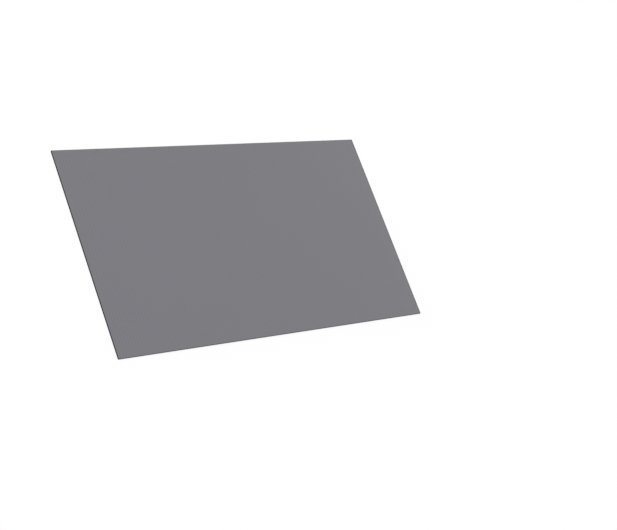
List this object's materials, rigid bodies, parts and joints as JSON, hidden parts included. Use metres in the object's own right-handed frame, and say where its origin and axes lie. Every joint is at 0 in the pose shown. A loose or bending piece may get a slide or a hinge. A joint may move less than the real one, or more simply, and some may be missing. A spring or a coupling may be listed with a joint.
{
  "type": "laptop privacy filter",
  "caption": "Flat rectangular sheet of grey tinted louvre film that covers a widescreen laptop display and narrows the angle it can be read from.",
  "frame": {"origin": "middle of the screen side, which is the underside when the sheet lies flat", "axes": "+X along the width, +Y towards the edge that is the top one on a screen, +Z out of the viewing side"},
  "size_m": [0.344, 0.194, 0.0008],
  "materials": {
    "tinted_film": "satin tinted film, see-through from the front, with dark cut edges"
  },
  "bodies": {
    "root": {"filter_sheet": "tinted_film"}
  },
  "joints": []
}
